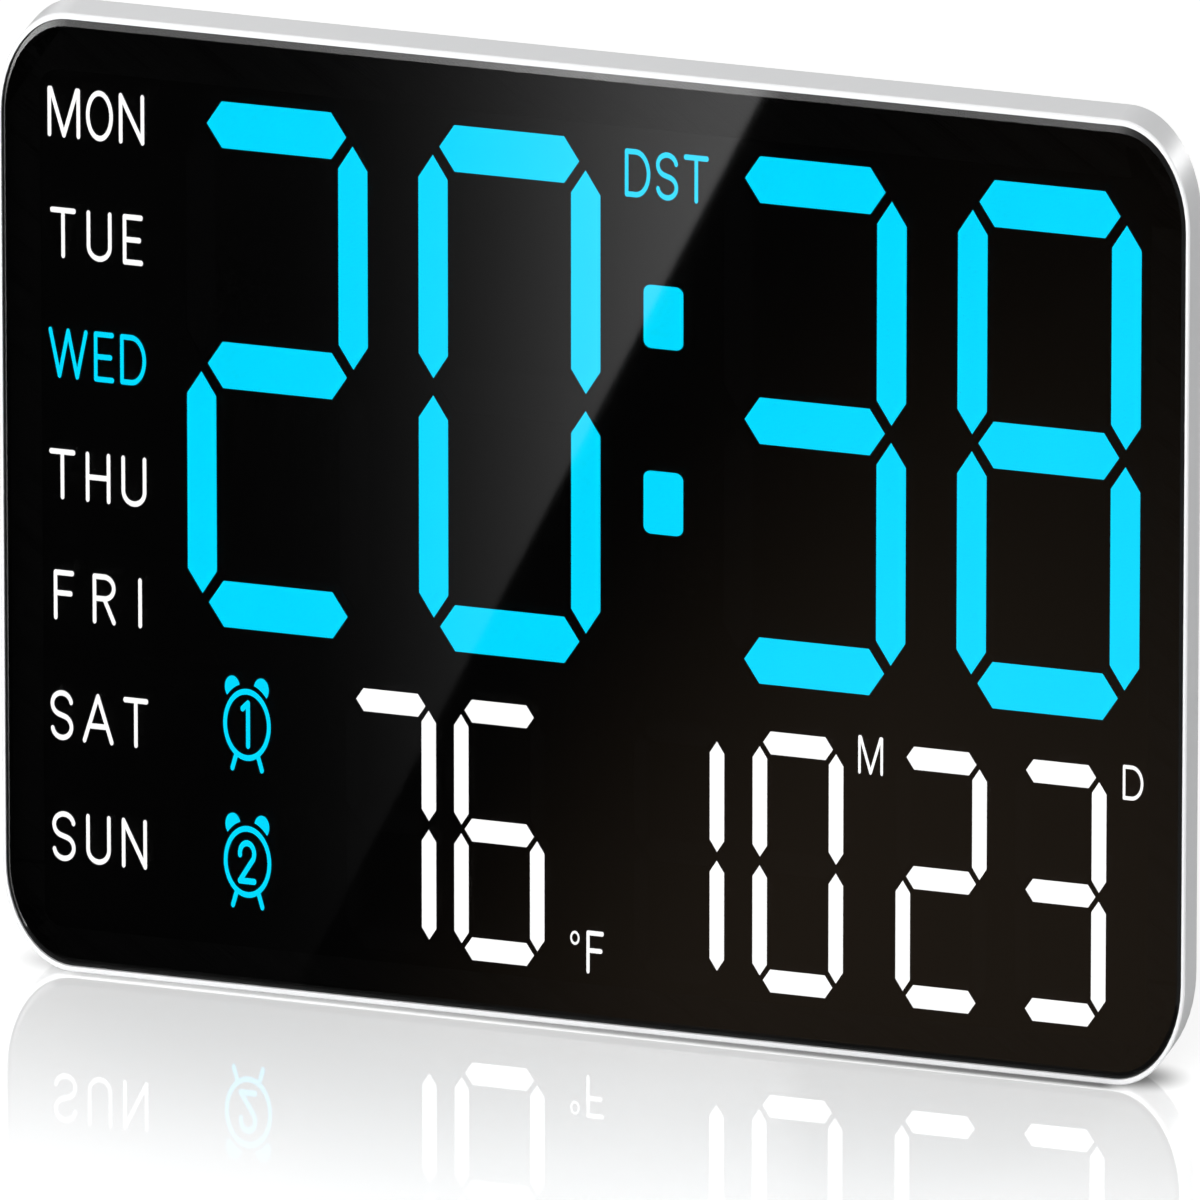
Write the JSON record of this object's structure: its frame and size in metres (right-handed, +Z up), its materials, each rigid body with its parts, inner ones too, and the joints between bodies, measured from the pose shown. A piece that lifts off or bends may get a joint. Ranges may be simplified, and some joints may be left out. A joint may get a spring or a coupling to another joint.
{
  "type": "digital wall clock",
  "caption": "Wall or table clock: smoked front panel over lit seven-bar digits for time, temperature and date, with buttons, keyholes and swing-out feet behind.",
  "frame": {"origin": "middle of the rim's flat lower face, which stands on the table", "axes": "+X along the case, to the right as seen from the front; +Z up; the display faces -Y"},
  "size_m": [0.36, 0.0796, 0.301],
  "materials": {
    "rim": "satin silver-white lacquer",
    "smoked_sheet": "polished smoked acrylic",
    "adhesive": "thin black foam tape",
    "film": "black printed film",
    "light_box": "white moulded plastic",
    "lit_cyan": "translucent resin lit cyan",
    "lit_white": "translucent resin lit white",
    "unlit": "translucent grey resin",
    "board": "green solder mask",
    "diode": "moulded diode body",
    "chip": "black moulding compound",
    "can": "plain metal can",
    "buzzer": "black moulded plastic",
    "capacitor": "shrunk sleeve",
    "thermistor": "dipped resin bead",
    "inlet": "black moulded plastic",
    "contact": "nickel-plated spring steel",
    "cell": "bright stainless can",
    "cover": "fine spark texture",
    "button": "smooth moulded plastic",
    "screw": "zinc plate",
    "pad": "moulded rubber"
  },
  "bodies": {
    "case": {"frame": "rim", "front_panel": "smoked_sheet", "panel_tape": "adhesive", "mask_film": "film", "light_box": "light_box", "time_bars_lit": "lit_cyan", "time_bars_unlit": "unlit", "colon_dots": "lit_cyan", "temperature_bars_lit": "lit_white", "date_bars_lit": "lit_white", "lower_bars_unlit": "unlit", "circuit_board": "board", "bar_diodes": "diode", "legend_diodes": "diode", "microcontroller": "chip", "driver_chips": "chip", "clock_crystal": "can", "thermistor": "thermistor", "buzzer": "buzzer", "capacitor": "capacitor", "power_inlet": "inlet", "inlet_pin": "contact", "push_switches": "chip", "cell_contacts": "contact", "coin_cell": "cell", "rear_cover": "cover", "case_screws": "screw", "foot_screws": "screw"},
    "cell_door": {"cell_door": "cover"},
    "foot_left": {"foot_arm_left": "cover", "foot_pad_left": "pad"},
    "foot_right": {"foot_arm_right": "cover", "foot_pad_right": "pad"},
    "button_mode": {"button_mode": "button"},
    "button_up": {"button_up": "button"},
    "button_down": {"button_down": "button"},
    "button_alarm": {"button_alarm": "button"},
    "button_brightness": {"button_brightness": "button"}
  },
  "joints": [
    {"name": "button_mode_press", "type": "slide", "parent": "case", "child": "button_mode", "axis": [0, -1, 0], "range_m": [0, 0.0008], "stiffness_N_per_m": 1500, "springref_m": -0.0002},
    {"name": "button_up_press", "type": "slide", "parent": "case", "child": "button_up", "axis": [0, -1, 0], "range_m": [0, 0.0008], "stiffness_N_per_m": 1500, "springref_m": -0.0002},
    {"name": "button_down_press", "type": "slide", "parent": "case", "child": "button_down", "axis": [0, -1, 0], "range_m": [0, 0.0008], "stiffness_N_per_m": 1500, "springref_m": -0.0002},
    {"name": "button_alarm_press", "type": "slide", "parent": "case", "child": "button_alarm", "axis": [0, -1, 0], "range_m": [0, 0.0008], "stiffness_N_per_m": 1500, "springref_m": -0.0002},
    {"name": "button_brightness_press", "type": "slide", "parent": "case", "child": "button_brightness", "axis": [0, -1, 0], "range_m": [0, 0.0008], "stiffness_N_per_m": 1500, "springref_m": -0.0002},
    {"name": "cell_door_turn", "type": "hinge", "parent": "case", "child": "cell_door", "pos_m": [-0.11, 0.01775, 0.175], "axis": [0, 1, 0], "range_deg": [0, 45]},
    {"name": "foot_left_swing", "type": "hinge", "parent": "case", "child": "foot_left", "pos_m": [-0.125, 0.01275, 0.0031], "axis": [0, 0, -1], "range_deg": [0, 90]},
    {"name": "foot_right_swing", "type": "hinge", "parent": "case", "child": "foot_right", "pos_m": [0.125, 0.01275, 0.0031], "axis": [0, 0, 1], "range_deg": [0, 90]}
  ]
}
